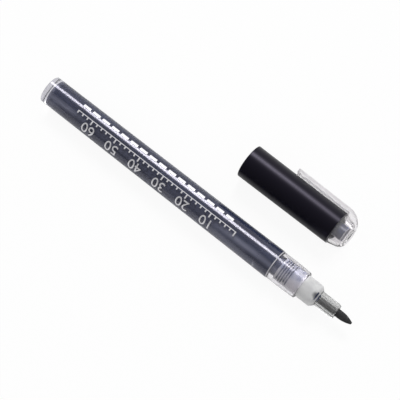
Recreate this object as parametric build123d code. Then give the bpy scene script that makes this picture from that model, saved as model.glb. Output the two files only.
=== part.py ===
from build123d import *
import math
import os

# Paint marker with a valve tip, lying on its side with its cap taken off and laid beside it.
# Millimetres. +Z is up, +X runs from the tail of the marker to its point, and the cap lies on the +Y side.
# The origin is under the middle of everything, on the table.
# Marker pieces are drawn about the X axis with x = 0 at the tail, cap pieces with x = 0 at the cap's mouth,
# and each is then moved to its place.

# Clearances
PRESS_GAP = 0.01            # radial, between pieces pressed together for good
CAP_SEAT_GAP = 0.05         # radial, cap on the front section
NIB_GAP = 0.08              # radial, nib between its guide ribs
PLUNGER_GAP = 0.2           # radial, plunger head in the spring cage
PAINT_GAP = 0.08            # between the paint and what it wets
BALL_GAP = 0.3              # between the mixing ball and the room left for it in the paint
NIB_LASH = 0.05             # between the nib and the plunger at rest
CLIP_ROOT_GAP = 0.3         # between the root of the clip and the end of the cap sleeve

# Barrel
BARREL_LENGTH = 95.8
BARREL_TAIL_DIAMETER = 9.6
BARREL_FRONT_DIAMETER = 10.4
BARREL_WALL = 0.9
BARREL_END_WALL = 2.0
BARREL_END_ROUND = 0.4
BARREL_BORE_ROUND = 1.2
BARREL_RIM_ROUND = 0.2

# Clear front section, pressed into the barrel and carrying the cap
SECTION_LENGTH = 11.2
SECTION_DIAMETER = 10.1
SECTION_SEAT_LENGTH = 6.0
SECTION_NOSE_WALL = 0.8
SECTION_NOSE_ROUND = 0.6
SECTION_SPIGOT_LENGTH = 6.0
SECTION_SPIGOT_WALL = 0.9

# Nib holder, pressed into the front section, with sealing ribs round its rear end
HOLDER_DIAMETER = 8.2
HOLDER_REACH = 6.5
HOLDER_GRIP = 9.0
HOLDER_CHAMFER = 1.2
HOLDER_RIBS = 6
HOLDER_RIB_PITCH = 0.62
HOLDER_RIB_THICKNESS = 0.3
HOLDER_RIB_HEIGHT = 0.35
HOLDER_FEED_BORE = 4.2

# Nib sleeve, pressed into the nib holder
SLEEVE_DIAMETER = 5.4
SLEEVE_REACH = 7.3
SLEEVE_GRIP = 3.7
SLEEVE_BORE = 3.3
SLEEVE_RIBS = 4
SLEEVE_RIB_WIDTH = 0.5
SLEEVE_MOUTH_ROUND = 0.55

# Nib
NIB_DIAMETER = 2.75
NIB_REACH = 5.9
NIB_TAIL = 0.6
NIB_POINT_LENGTH = 4.6
NIB_POINT_RADIUS = 0.35
NIB_POINT_ROUND = 0.3
NIB_TAIL_CHAMFER = 0.25
NIB_PRESS = 1.5             # travel of the nib into its sleeve

# Valve behind the nib
CHAMBER_DIAMETER = 5.6
SEAT_THICKNESS = 1.5
SEAT_BORE = 2.7
HEAD_LENGTH = 1.6
STEM_DIAMETER = 1.8
PUSHER_DIAMETER = 2.6
PUSHER_LENGTH = 0.8
PUSHER_SPARE = 0.6          # from the pusher to the seat when the nib is pressed right in
GUIDE_DIAMETER = 2.3
GUIDE_LENGTH = 1.8
CAGE_WALL = 0.5
CAGE_OVERHANG = 5.2
CAGE_END_WALL = 1.2
CAGE_END_HOLE = 1.6
WINDOW_WIDTH = 1.6
WINDOW_MARGIN = 0.4
SPRING_WIRE = 0.35
SPRING_MEAN_DIAMETER = 3.4
SPRING_TURNS = 8

# Mixing ball, free to run along the barrel
BALL_DIAMETER = 4.5
BALL_FROM_TAIL = 30.0
BALL_SKIN = 0.4             # least paint between the ball's room and the outside of the paint

# Cap
CAP_WALL = 0.9
CAP_SLEEVE_LENGTH = 36.45
CAP_DRAFT = 0.15            # loss of radius from the mouth to the far end of the sleeve
CAP_SEAT_LENGTH = 12.0
CAP_RELIEF = 0.2            # radial, past the seat
CAP_MOUTH_ROUND = 0.25
CAP_END_GRIP = 10.0
CAP_END_SPIGOT_WALL = 0.9
CAP_END_REACH = 5.55
CAP_END_WALL = 1.1
CAP_END_STEP = 0.2          # radial, sleeve to dome
CAP_END_TAPER = 1.35        # radial, over the length of the dome
CAP_END_ROUND = 3.0
CAP_ROOM_TAPER = 0.44       # radial, from the end of the sleeve to the ledge in the room
CAP_ROOM_LEDGE = 0.35       # radial width of the ledge
CAP_ROOM_LEDGE_BACK = 2.1   # from the end of the cap to the ledge
CAP_ROOM_DRAFT = 0.2        # radial, past the ledge
CAP_ROOM_ROUND = 0.8
CLIP_LENGTH = 27.2          # from its free end to the end of the cap
CLIP_WIDTH = 4.8
CLIP_THICKNESS = 1.2
CLIP_OPENING = 0.95         # radial, sleeve to the free end of the clip
CLIP_RISE = 0.35            # how much further out the free end stands than the root
CLIP_ROUND = 6.0            # round of the cap's end into the clip
CLIP_TIP_ROUND = 0.7
CLIP_THROAT_ROUND = 0.5
CLIP_NUB_HEIGHT = 0.45
CLIP_NUB_LENGTH = 2.2
CLIP_NUB_SETBACK = 1.6

# Inner cap, which shuts round the nib holder and the nib
INNER_CAP_SET_BACK = 0.3    # from the cap's seat to the inner cap
INNER_SKIRT_LENGTH = 6.2
INNER_SKIRT_GAP = 0.05      # radial, on the nib holder
INNER_WALL = 0.6
INNER_WAIST_LENGTH = 8.5
INNER_WAIST_GAP = 0.3       # radial, round the nib sleeve
INNER_TIP_DIAMETER = 5.2
INNER_TIP_END_GAP = 0.3     # to the ledge in the cap's end
INNER_TIP_END_WALL = 1.0
INNER_FLANGE_LENGTH = 1.2

# Where the cap lies
CAP_FROM_TAIL = 67.1        # tail of the marker to the mouth of the cap, along the marker
CAP_SIDE_DISTANCE = 21.9    # between the two axes

# Radii and places along the marker
tail_radius = BARREL_TAIL_DIAMETER / 2
front_radius = BARREL_FRONT_DIAMETER / 2
spigot_radius = front_radius - BARREL_WALL
section_radius = SECTION_DIAMETER / 2
section_bore_radius = spigot_radius - SECTION_SPIGOT_WALL
holder_radius = HOLDER_DIAMETER / 2
nose_radius = holder_radius + SECTION_NOSE_WALL
sleeve_radius = SLEEVE_DIAMETER / 2
nib_radius = NIB_DIAMETER / 2
chamber_radius = CHAMBER_DIAMETER / 2
cage_bore_radius = chamber_radius - CAGE_WALL
head_radius = cage_bore_radius - PLUNGER_GAP

section_rear_x = BARREL_LENGTH - SECTION_SPIGOT_LENGTH
section_front_x = BARREL_LENGTH + SECTION_LENGTH
holder_rear_x = section_front_x - HOLDER_GRIP
holder_front_x = section_front_x + HOLDER_REACH
sleeve_rear_x = holder_front_x - SLEEVE_GRIP
sleeve_front_x = holder_front_x + SLEEVE_REACH
nib_rear_x = sleeve_rear_x - NIB_TAIL
tip_x = sleeve_front_x + NIB_REACH
plunger_front_x = nib_rear_x - NIB_LASH
seat_front_x = plunger_front_x - PUSHER_LENGTH - NIB_PRESS - PUSHER_SPARE
seat_rear_x = seat_front_x - SEAT_THICKNESS
head_rear_x = seat_rear_x - HEAD_LENGTH
cage_rear_x = holder_rear_x - CAGE_OVERHANG
cage_floor_x = cage_rear_x + CAGE_END_WALL

# Radii and places along the cap
cap_bore_radius = section_radius + CAP_SEAT_GAP
cap_radius = cap_bore_radius + CAP_WALL
cap_far_radius = cap_radius - CAP_DRAFT
cap_relief_radius = cap_bore_radius + CAP_RELIEF
cap_end_x = CAP_SLEEVE_LENGTH + CAP_END_REACH
room_end_x = cap_end_x - CAP_END_WALL
ledge_x = cap_end_x - CAP_ROOM_LEDGE_BACK
end_spigot_radius = cap_relief_radius - PRESS_GAP
end_room_radius = end_spigot_radius - CAP_END_SPIGOT_WALL
end_spigot_x = CAP_SLEEVE_LENGTH - CAP_END_GRIP
dome_radius = cap_far_radius - CAP_END_STEP
clip_inner_radius = cap_radius + CLIP_OPENING
clip_outer_radius = clip_inner_radius + CLIP_THICKNESS
clip_tip_x = cap_end_x - CLIP_LENGTH

# Where the two groups lie
marker_side_y = -front_radius
clip_side_y = CAP_SIDE_DISTANCE + clip_outer_radius
MARKER = Pos(-tip_x / 2, -(marker_side_y + clip_side_y) / 2, front_radius)
CAP = Pos(CAP_FROM_TAIL - tip_x / 2, CAP_SIDE_DISTANCE - (marker_side_y + clip_side_y) / 2, cap_radius)


def turned(*corners):
    """A solid turned about the X axis. A corner is (x, radius) or (x, radius, rounding)."""
    outline = make_face(Polyline(*[corner[:2] for corner in corners], close=True))
    for corner in corners:
        if len(corner) == 3:
            nearest = outline.vertices().sort_by_distance(Vector(*corner[:2]))[0]
            outline = fillet(nearest, corner[2])
    return revolve(outline, Axis.X)


def ring(rear_x, front_x, inner_radius, outer_radius):
    return turned(
        (rear_x, inner_radius), (rear_x, outer_radius), (front_x, outer_radius), (front_x, inner_radius)
    )


def rod(rear_x, front_x, radius):
    return turned((rear_x, 0), (rear_x, radius), (front_x, radius), (front_x, 0))


def barrel_radius(x):
    """Outside radius of the tapered barrel."""
    return tail_radius + (front_radius - tail_radius) * x / BARREL_LENGTH


def make_barrel():
    return turned(
        (0, 0),
        (0, tail_radius, BARREL_END_ROUND),
        (BARREL_LENGTH, front_radius, BARREL_RIM_ROUND),
        (BARREL_LENGTH, spigot_radius),
        (section_rear_x, spigot_radius),
        (section_rear_x, barrel_radius(section_rear_x) - BARREL_WALL),
        (BARREL_END_WALL, barrel_radius(BARREL_END_WALL) - BARREL_WALL, BARREL_BORE_ROUND),
        (BARREL_END_WALL, 0),
    )


def make_front_section():
    return turned(
        (section_rear_x, section_bore_radius),
        (section_rear_x, spigot_radius - PRESS_GAP),
        (BARREL_LENGTH, spigot_radius - PRESS_GAP),
        (BARREL_LENGTH, section_radius),
        (BARREL_LENGTH + SECTION_SEAT_LENGTH, section_radius),
        (section_front_x, nose_radius, SECTION_NOSE_ROUND),
        (section_front_x, holder_radius),
        (holder_rear_x, holder_radius),
        (holder_rear_x, section_bore_radius),
    )


def make_nib_holder():
    plug_radius = holder_radius - PRESS_GAP
    core_radius = plug_radius - HOLDER_RIB_HEIGHT
    ribbed_end_x = holder_rear_x + HOLDER_RIBS * HOLDER_RIB_PITCH
    body = turned(
        (holder_rear_x, chamber_radius),
        (holder_rear_x, core_radius),
        (ribbed_end_x, core_radius),
        (ribbed_end_x, plug_radius),
        (holder_front_x - HOLDER_CHAMFER, plug_radius),
        (holder_front_x, plug_radius - HOLDER_CHAMFER),
        (holder_front_x, sleeve_radius),
        (sleeve_rear_x, sleeve_radius),
        (sleeve_rear_x, HOLDER_FEED_BORE / 2),
        (seat_front_x, HOLDER_FEED_BORE / 2),
        (seat_front_x, chamber_radius),
    )
    for count in range(HOLDER_RIBS):
        rib_x = holder_rear_x + count * HOLDER_RIB_PITCH
        body += ring(rib_x, rib_x + HOLDER_RIB_THICKNESS, chamber_radius, plug_radius)
    return body


def make_nib_sleeve():
    """Tube with ribs inside that hold the nib in the middle and let paint and air pass."""
    wall_radius = sleeve_radius - PRESS_GAP
    tube = turned(
        (sleeve_rear_x, SLEEVE_BORE / 2),
        (sleeve_rear_x, wall_radius),
        (sleeve_front_x, wall_radius, SLEEVE_MOUTH_ROUND),
        (sleeve_front_x, SLEEVE_BORE / 2),
    )
    rib_length = sleeve_front_x - sleeve_rear_x - SLEEVE_MOUTH_ROUND
    rib_bottom = nib_radius + NIB_GAP
    rib_depth = (SLEEVE_BORE / 2 + wall_radius) / 2 - rib_bottom
    rib = Pos(sleeve_rear_x + rib_length / 2, 0, rib_bottom + rib_depth / 2) * Box(
        rib_length, SLEEVE_RIB_WIDTH, rib_depth
    )
    for count in range(SLEEVE_RIBS):
        tube += Rot(360 * count / SLEEVE_RIBS, 0, 0) * rib
    return tube


def make_nib():
    shoulder_x = tip_x - NIB_POINT_LENGTH
    outline = (
        Line((nib_rear_x, 0), (nib_rear_x, nib_radius - NIB_TAIL_CHAMFER))
        + Line((nib_rear_x, nib_radius - NIB_TAIL_CHAMFER), (nib_rear_x + NIB_TAIL_CHAMFER, nib_radius))
        + Line((nib_rear_x + NIB_TAIL_CHAMFER, nib_radius), (shoulder_x, nib_radius))
        + TangentArc((shoulder_x, nib_radius), (tip_x, NIB_POINT_RADIUS), tangent=(1, 0))
        + Line((tip_x, NIB_POINT_RADIUS), (tip_x, 0))
        + Line((tip_x, 0), (nib_rear_x, 0))
    )
    half = make_face(outline)
    point = half.vertices().sort_by_distance(Vector(tip_x, NIB_POINT_RADIUS))[0]
    return revolve(fillet(point, NIB_POINT_ROUND), Axis.X)


def make_valve_seat():
    return ring(seat_rear_x, seat_front_x, SEAT_BORE / 2, chamber_radius - PRESS_GAP)


def make_valve_plunger():
    stem = rod(seat_rear_x, plunger_front_x, STEM_DIAMETER / 2)
    head = rod(head_rear_x, seat_rear_x, head_radius)
    pusher = rod(plunger_front_x - PUSHER_LENGTH, plunger_front_x, PUSHER_DIAMETER / 2)
    guide = rod(head_rear_x - GUIDE_LENGTH, head_rear_x, GUIDE_DIAMETER / 2)
    return stem + head + pusher + guide


def make_spring_cage():
    """Cup that holds the valve together from behind, with windows that let the paint in."""
    cage = turned(
        (cage_rear_x, CAGE_END_HOLE / 2),
        (cage_rear_x, chamber_radius - PRESS_GAP),
        (seat_rear_x, chamber_radius - PRESS_GAP),
        (seat_rear_x, cage_bore_radius),
        (cage_floor_x, cage_bore_radius),
        (cage_floor_x, CAGE_END_HOLE / 2),
    )
    window_rear_x = cage_floor_x + WINDOW_MARGIN
    window_length = holder_rear_x - WINDOW_MARGIN - window_rear_x
    slot = Pos(window_rear_x + window_length / 2, 0, 0) * Box(window_length, CHAMBER_DIAMETER, WINDOW_WIDTH)
    return cage - slot - Rot(90, 0, 0) * slot


def helix_point(turn, radius, start_x, pitch):
    angle = 2 * math.pi * turn
    return Vector(start_x + pitch * turn, radius * math.cos(angle), radius * math.sin(angle))


def helix_direction(turn, radius, pitch):
    angle = 2 * math.pi * turn
    step = pitch / (2 * math.pi)
    return Vector(step, -radius * math.sin(angle), radius * math.cos(angle)).normalized()


def biarc(start, start_direction, end, end_direction):
    """Two arcs from start to end that keep both directions and meet smoothly."""
    span = end - start
    both = start_direction + end_direction
    bend = 2 * (1 - start_direction.dot(end_direction))
    reach = (-span.dot(both) + math.sqrt(span.dot(both) ** 2 + bend * span.dot(span))) / bend
    meet = (start + end + (start_direction - end_direction) * reach) / 2
    first = TangentArc(start, meet, tangent=start_direction)
    return [first, TangentArc(meet, end, tangent=first % 1)]


def make_valve_spring():
    """Compression spring between the cage's floor and the plunger's head."""
    radius = SPRING_MEAN_DIAMETER / 2
    first_x = cage_floor_x + SPRING_WIRE
    last_x = head_rear_x - SPRING_WIRE
    pitch = (last_x - first_x) / SPRING_TURNS
    quarters = [count / 4 for count in range(4 * SPRING_TURNS + 1)]
    path = []
    for here, there in zip(quarters, quarters[1:]):
        path += biarc(
            helix_point(here, radius, first_x, pitch),
            helix_direction(here, radius, pitch),
            helix_point(there, radius, first_x, pitch),
            helix_direction(there, radius, pitch),
        )
    wire = Wire(path)
    section = Plane(wire @ 0, z_dir=wire % 0) * Circle(SPRING_WIRE / 2)
    print("valve spring, gap between turns", round(pitch - SPRING_WIRE, 3))
    return sweep(section, wire)


def ball_height():
    """How far under the marker's axis the ball's centre runs."""
    least_paint = barrel_radius(BARREL_END_WALL) - BARREL_WALL - PAINT_GAP
    return least_paint - BALL_SKIN - BALL_GAP - BALL_DIAMETER / 2


def make_mixing_ball():
    return Pos(BALL_FROM_TAIL, 0, -ball_height()) * Sphere(BALL_DIAMETER / 2)


def make_paint_charge():
    """Paint that fills the barrel and the back of the front section, less the room that the ball runs in."""
    paint_rear_x = BARREL_END_WALL + PAINT_GAP
    barrel_end_x = section_rear_x - PAINT_GAP
    paint = turned(
        (paint_rear_x, 0),
        (paint_rear_x, barrel_radius(paint_rear_x) - BARREL_WALL - PAINT_GAP, BARREL_BORE_ROUND),
        (barrel_end_x, barrel_radius(barrel_end_x) - BARREL_WALL - PAINT_GAP),
        (barrel_end_x, section_bore_radius - PAINT_GAP),
        (holder_rear_x - PAINT_GAP, section_bore_radius - PAINT_GAP),
        (holder_rear_x - PAINT_GAP, chamber_radius + PAINT_GAP),
        (cage_rear_x - PAINT_GAP, chamber_radius + PAINT_GAP),
        (cage_rear_x - PAINT_GAP, 0),
    )
    room_rear_x = paint_rear_x + BARREL_BORE_ROUND
    room_front_x = barrel_end_x - BALL_SKIN
    room = rod(room_rear_x, room_front_x, BALL_DIAMETER / 2 + BALL_GAP)
    print("mixing ball runs", round(room_rear_x + BALL_GAP + BALL_DIAMETER / 2 - BALL_FROM_TAIL, 2),
          "to", round(room_front_x - BALL_GAP - BALL_DIAMETER / 2 - BALL_FROM_TAIL, 2))
    return paint - Pos(0, 0, -ball_height()) * room


def make_cap_sleeve():
    return turned(
        (0, cap_bore_radius, CAP_MOUTH_ROUND),
        (0, cap_radius, CAP_MOUTH_ROUND),
        (CAP_SLEEVE_LENGTH, cap_far_radius),
        (CAP_SLEEVE_LENGTH, cap_relief_radius),
        (CAP_SEAT_LENGTH, cap_relief_radius),
        (CAP_SEAT_LENGTH, cap_bore_radius),
    )


def make_clip():
    """Curved strip that follows the sleeve, rounded down into the end of the cap."""
    root_x = CAP_SLEEVE_LENGTH + CLIP_ROOT_GAP
    root_bottom = dome_radius - CAP_END_TAPER - CAP_END_ROUND
    strip = turned(
        (clip_tip_x, clip_inner_radius),
        (clip_tip_x, clip_outer_radius),
        (cap_end_x, clip_outer_radius - CLIP_RISE, CLIP_ROUND),
        (cap_end_x, root_bottom),
        (root_x, root_bottom),
        (root_x, clip_inner_radius - CLIP_RISE, CLIP_THROAT_ROUND),
    )
    nub_x = clip_tip_x + CLIP_NUB_SETBACK
    nub = turned(
        (nub_x, clip_inner_radius + CLIP_THICKNESS / 2),
        (nub_x, clip_inner_radius),
        (nub_x + CLIP_NUB_LENGTH / 2, clip_inner_radius - CLIP_NUB_HEIGHT, CLIP_NUB_HEIGHT),
        (nub_x + CLIP_NUB_LENGTH, clip_inner_radius),
        (nub_x + CLIP_NUB_LENGTH, clip_inner_radius + CLIP_THICKNESS / 2),
    )
    plan = make_face(
        Polyline(
            (clip_tip_x, -CLIP_WIDTH / 2),
            (cap_end_x, -CLIP_WIDTH / 2),
            (cap_end_x, CLIP_WIDTH / 2),
            (clip_tip_x, CLIP_WIDTH / 2),
            close=True,
        )
    )
    plan = fillet(plan.vertices().sort_by(Axis.X)[:2], CLIP_TIP_ROUND)
    strip_side = extrude(Plane.XZ * plan, -clip_outer_radius)
    return (strip + nub) & strip_side


def make_cap_end():
    """Clear end of the cap: a hollow dome plugged into the sleeve, moulded in one with the clip."""
    plug = turned(
        (end_spigot_x, 0),
        (end_spigot_x, end_spigot_radius),
        (CAP_SLEEVE_LENGTH, end_spigot_radius),
        (CAP_SLEEVE_LENGTH, dome_radius),
        (cap_end_x, dome_radius - CAP_END_TAPER, CAP_END_ROUND),
        (cap_end_x, 0),
    )
    ledge_outer_radius = end_room_radius - CAP_ROOM_TAPER
    ledge_inner_radius = ledge_outer_radius - CAP_ROOM_LEDGE
    room = turned(
        (end_spigot_x, 0),
        (end_spigot_x, end_room_radius),
        (CAP_SLEEVE_LENGTH, end_room_radius),
        (ledge_x, ledge_outer_radius),
        (ledge_x, ledge_inner_radius),
        (room_end_x, ledge_inner_radius - CAP_ROOM_DRAFT, CAP_ROOM_ROUND),
        (room_end_x, 0),
    )
    return plug + make_clip() - room


def make_inner_cap():
    """Stepped cup held in the cap's end by a flange: skirt on the holder, waist on the sleeve, tip on the nib."""
    skirt_x = CAP_SEAT_LENGTH + INNER_CAP_SET_BACK
    waist_x = skirt_x + INNER_SKIRT_LENGTH
    tip_start_x = waist_x + INNER_WAIST_LENGTH
    tip_end_x = ledge_x - INNER_TIP_END_GAP
    skirt_bore = holder_radius + INNER_SKIRT_GAP
    waist_bore = sleeve_radius + INNER_WAIST_GAP
    tip_radius = INNER_TIP_DIAMETER / 2
    cup = turned(
        (skirt_x, skirt_bore),
        (skirt_x, skirt_bore + INNER_WALL),
        (waist_x + INNER_WALL, skirt_bore + INNER_WALL),
        (waist_x + INNER_WALL, waist_bore + INNER_WALL),
        (tip_start_x + INNER_WALL, waist_bore + INNER_WALL),
        (tip_start_x + INNER_WALL, tip_radius),
        (tip_end_x, tip_radius),
        (tip_end_x, 0),
        (tip_end_x - INNER_TIP_END_WALL, 0),
        (tip_end_x - INNER_TIP_END_WALL, tip_radius - INNER_WALL),
        (tip_start_x, tip_radius - INNER_WALL),
        (tip_start_x, waist_bore),
        (waist_x, waist_bore),
        (waist_x, skirt_bore),
    )
    flange_x = end_spigot_x + INNER_WALL
    return cup + ring(flange_x, flange_x + INNER_FLANGE_LENGTH, tip_radius, end_room_radius - PRESS_GAP)


marker_pieces = {
    "barrel": make_barrel,
    "paint_charge": make_paint_charge,
    "mixing_ball": make_mixing_ball,
    "front_section": make_front_section,
    "nib_holder": make_nib_holder,
    "nib_sleeve": make_nib_sleeve,
    "nib": make_nib,
    "valve_seat": make_valve_seat,
    "valve_plunger": make_valve_plunger,
    "valve_spring": make_valve_spring,
    "spring_cage": make_spring_cage,
}
cap_pieces = {
    "cap_sleeve": make_cap_sleeve,
    "cap_end": make_cap_end,
    "inner_cap": make_inner_cap,
}

os.makedirs("parts", exist_ok=True)
for place, pieces in ((MARKER, marker_pieces), (CAP, cap_pieces)):
    for node, make in pieces.items():
        export_step(place * make(), f"parts/{node}.step")
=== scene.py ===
import bpy
import bmesh
import math
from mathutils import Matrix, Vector


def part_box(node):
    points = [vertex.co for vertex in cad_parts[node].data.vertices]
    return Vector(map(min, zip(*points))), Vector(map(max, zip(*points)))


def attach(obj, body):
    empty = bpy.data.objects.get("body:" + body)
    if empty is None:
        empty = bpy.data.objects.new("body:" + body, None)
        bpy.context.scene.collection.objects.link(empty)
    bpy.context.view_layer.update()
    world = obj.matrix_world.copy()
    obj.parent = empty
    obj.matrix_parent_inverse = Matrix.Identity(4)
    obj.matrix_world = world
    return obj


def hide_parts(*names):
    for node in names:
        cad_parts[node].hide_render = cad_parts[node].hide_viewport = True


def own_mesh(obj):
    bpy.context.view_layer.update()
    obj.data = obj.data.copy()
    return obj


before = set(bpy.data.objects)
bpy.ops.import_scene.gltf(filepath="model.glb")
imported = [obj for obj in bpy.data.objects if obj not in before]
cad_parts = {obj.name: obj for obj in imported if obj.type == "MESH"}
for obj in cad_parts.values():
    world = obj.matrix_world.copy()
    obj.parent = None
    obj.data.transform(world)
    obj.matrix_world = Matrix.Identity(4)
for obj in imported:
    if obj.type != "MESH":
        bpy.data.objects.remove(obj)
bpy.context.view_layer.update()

# Looks of a clear-barrelled paint marker and its cap. Metres, in the frame of the solids:
# +X runs from the tail of the marker to its point, +Z is up and the cap lies on the +Y side.
MM = 0.001

# The marker's axis and tail, from the solids
barrel_low, barrel_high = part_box("barrel")
tail_x = barrel_low.x
marker_axis = ((barrel_low.y + barrel_high.y) / 2, (barrel_low.z + barrel_high.z) / 2)


def rear_of(node):
    """Rear end of a solid, in millimetres from the tail."""
    return (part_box(node)[0].x - tail_x) / MM


def front_of(node):
    """Front end of a solid, in millimetres from the tail."""
    return (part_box(node)[1].x - tail_x) / MM


# Marker, in millimetres
BARREL_LENGTH = front_of("barrel")
BARREL_FRONT_RADIUS = (barrel_high.z - barrel_low.z) / MM / 2
BARREL_TAIL_RADIUS = 4.8
BARREL_WALL = 0.9
BARREL_END_WALL = 2.0
BARREL_BORE_ROUND = 1.2
SECTION_RADIUS = 5.05
SECTION_BORE_RADIUS = 3.4
SECTION_FRONT = front_of("front_section")
SPIGOT_RADIUS = 4.3
RIM_LINE_REACH = 0.16           # width of the painted highlight ring on either side of the barrel's front edge
RIM_LINE_HEIGHT = 0.12
HOLDER_REAR = rear_of("nib_holder")
HOLDER_FRONT = front_of("nib_holder")
HOLDER_RADIUS = 4.06        # a hair under the section's bore, so that its facets stay inside
HOLDER_SHOULDER = 1.2
HOLDER_SHOULDER_ROUND = 0.25
HOLDER_EDGE_ROUND = 0.1
HOLDER_LAND = 0.85          # plain rim behind its first groove
HOLDER_GROOVES = 5          # fewer and wider than the real ones, which are too fine to show
GROOVE_PITCH = 0.85
GROOVE_WIDTH = 0.4
GROOVE_DEPTH = 0.35
RIB_ROUND = 0.05
CHAMBER_RADIUS = 2.8
SLEEVE_RADIUS = 2.7
FEED_RADIUS = 2.1

# Turned meshes
FULL_TURN = 360.0           # degrees
FULL_TURN_STEPS = 192
LEAST_STEPS = 2
ROUND_SEGMENTS = 8
SMOOTH_ANGLE = math.radians(35)
WELD_DISTANCE = 0.0001 * MM  # points nearer than this are one

# Cap, in millimetres from its axis
cap_low, cap_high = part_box("cap_sleeve")
cap_axis_y = (cap_low.y + cap_high.y) / 2
CLIP_START = 4.6            # nearer than this the cap's end is polished
CLIP_FULL = 6.0             # farther than this it is rubbed dull, as the clip is

# Paint, in millimetres; sweeps in degrees round the marker from straight up towards +Y
WETTING = 0.02              # drawn this far into the wall, so that no air shows between the two
PAINT_GAP = 0.08
FILM_THICKNESS = 0.05       # paint drawn into the joint between the section and the barrel
FILM_SHORTFALL = 0.3        # clear rim that the film leaves at the front of the barrel
BALL_GAP = 0.3
REFLECTION_SIDE = (-2.6, -0.8)    # from the axis: where its smudges and painted reflection are palest and where they end
HIGHLIGHT_LINE_SIDE = -2.3             # from the axis: where a painted highlight line lies near both ends of the barrel
HIGHLIGHT_LINE_WIDTH = 1.3
TAIL_HIGHLIGHT_LINE = (11.0, 21.0)     # from the tail: where the painted highlight line at the tail ends
FRONT_HIGHLIGHT_LINE = (70.0, 80.0)    # from the tail: where the painted highlight line at the front starts
THIN_END = 1.4              # length over which it thins out at the tail
SEEP_DEPTH = 0.24
SEEP_SWEEPS = [(-70, 46), (-80, 58), (-76, 62), (-60, 30), (-72, 44)]
STAIN_AND_LIGHT_FADE = (1.2, 0.2)     # behind the section's front: where the stain, painted shade and painted light in the holder fade out
STAIN_AND_LIGHT_SIDE = (-3.4, -0.6)   # from the axis: where the holder has its painted light and where it is fully stained and shaded
THIN_SPOT = (-1.0, -13.0)   # where it shows through the holder: from its front, degrees round it
THIN_SPOT_RADIUS = 3.7
THIN_SPOT_REACH = (0.3, 1.5)
BLEED_SWEEP = (-38, 10)     # of the marks that it leaves where the sleeve leaves the holder
BLEED_WIDTH = 0.4
BLEED_HEIGHT = 0.05
BLEED_PLACES = (-0.8, 0.05)  # their rear edges, from the front of the holder

# Print on the barrel: a plain graduated scale with its numbers, and a broken line; millimetres
# along the barrel from the tail, degrees round it from straight up towards +Y
SCALE_ZERO = 80.0           # near the point, so that the level is read with the point down
SCALE_LENGTH = 66
SCALE_STEP = 2
NUMBER_STEP = 10            # between the longer graduations, which have the numbers
SCALE_LINE = (-12.0, -9.0)
SCALE_MARK = 0.5
SCALE_REACH = {NUMBER_STEP: 17.0, SCALE_STEP: 9.0}
NUMBER_ANGLE = -51.0
NUMBER_HEIGHT = 5.3         # of the letter body; a numeral is about 0.7 of it
NUMBER_CUTS = 7             # bands above and below the middle of a number, so that it bends round
NUMBER_BAND = 0.3
NUMBER_STANDOFF = 1.0
DASH_START = 14.0
DASH_COUNT = 16
DASH_LENGTH = 2.9
DASH_PITCH = 4.0
DASH_EDGES = (16.0, 26.0)
INK_THICKNESS = 0.02

# Patterns, in millimetres: the size of what repeats in each finish. The grain of moulded and
# rubber surfaces, fibres, flakes and drawing marks are finer on the real pieces, too fine to show
# in the render, so they are drawn as coarse as this.
HAZE_SIZE = 2.5
PAINT_STREAK = (17.0, 2.0, 2.0)
PAINT_SMUDGE = (30.0, 5.0, 5.0)
CLOUD_SIZE = 2.0
SLEEVE_HAZE_SIZE = 1.1
FIBRE_SIZE = (1.1, 0.17, 0.17)
FIBRE_RELIEF = 0.08
SATIN_GRAIN = 0.4
SATIN_RELIEF = 0.03
CAP_GRAIN = 0.65
FLAKE_SIZE = 0.33
STEEL_MARK = 0.17
RUBBER_GRAIN = 0.25
ACETAL_GRAIN = 0.5

# The levels of a pattern between which its colour changes
STREAK_LEVELS = (0.3, 0.75)
SMUDGE_LEVELS = (0.38, 0.66)
STAIN_LEVELS = (0.36, 0.62)
CLOUD_LEVELS = (0.35, 0.7)
FIBRE_LEVELS = (0.2, 0.8)
GRAIN_LEVELS = (0.3, 0.7)
FLAKE_LEVELS = (0.2, 0.8)

# Plastics: index of refraction, how clear they are, and roughness at their glossiest and dullest
STYRENE_IOR = 1.59
POLYETHYLENE_IOR = 1.51
POLYPROPYLENE_IOR = 1.49
ACETAL_IOR = 1.48
FACE_SHARE = 0.5            # of a clear wall's tint, taken at each of its two faces
BARREL_GLOSS = (0.17, 0.19)
SECTION_GLOSS = (0.13, 0.17)
SECTION_CLARITY = 0.98
DOME_GLOSS = 0.02
CLIP_GLOSS = 0.45
CAP_END_HAZE = 0.03         # roughness that uneven haze adds to the dome and the clip
CAP_END_TINT = "#f0eef0"
DOME_CLARITY = 0.96
CLIP_CLARITY = 0.72
SLEEVE_TINT = "#d2d2d2"
SLEEVE_CLARITY = 0.94
SLEEVE_GLOSS = (0.16, 0.26)
HOLDER_GLOSS = (0.5, 0.62)
SCATTER_DEPTH = 2.0         # millimetres that light wanders in the milky holder
SATIN_GLOSS = (0.28, 0.36)
INNER_CAP_GLOSS = (0.25, 0.4)
ACETAL_GLOSS = (0.35, 0.5)
STEEL_GLOSS = (0.15, 0.35)  # of the ball and the spring

# Shares of a second colour
REFLECTION_LEAST = 0.25         # of painted reflection between the smudges
TAIL_THINNING = 1.3         # of pale paint at the tail, before the streaks break it up
STAIN_AND_SHADE_SHARES = (0.35, 0.9)  # of paint stain and painted shade in the clouded side of the holder
THIN_SPOT_SHARE = 0.8       # of paint in the middle of the holder's thin spot

# Camera: a long lens from above and in front of the point; degrees, and millimetres for the lens
CAMERA_TARGET = Vector((-1.29 * MM, -9.51 * MM, 0))
CAMERA_AZIMUTH = 39.43
CAMERA_ELEVATION = 71.0
CAMERA_DISTANCE = 0.62
CAMERA_LENS = 170.4
SENSOR_WIDTH = 36.0

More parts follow.
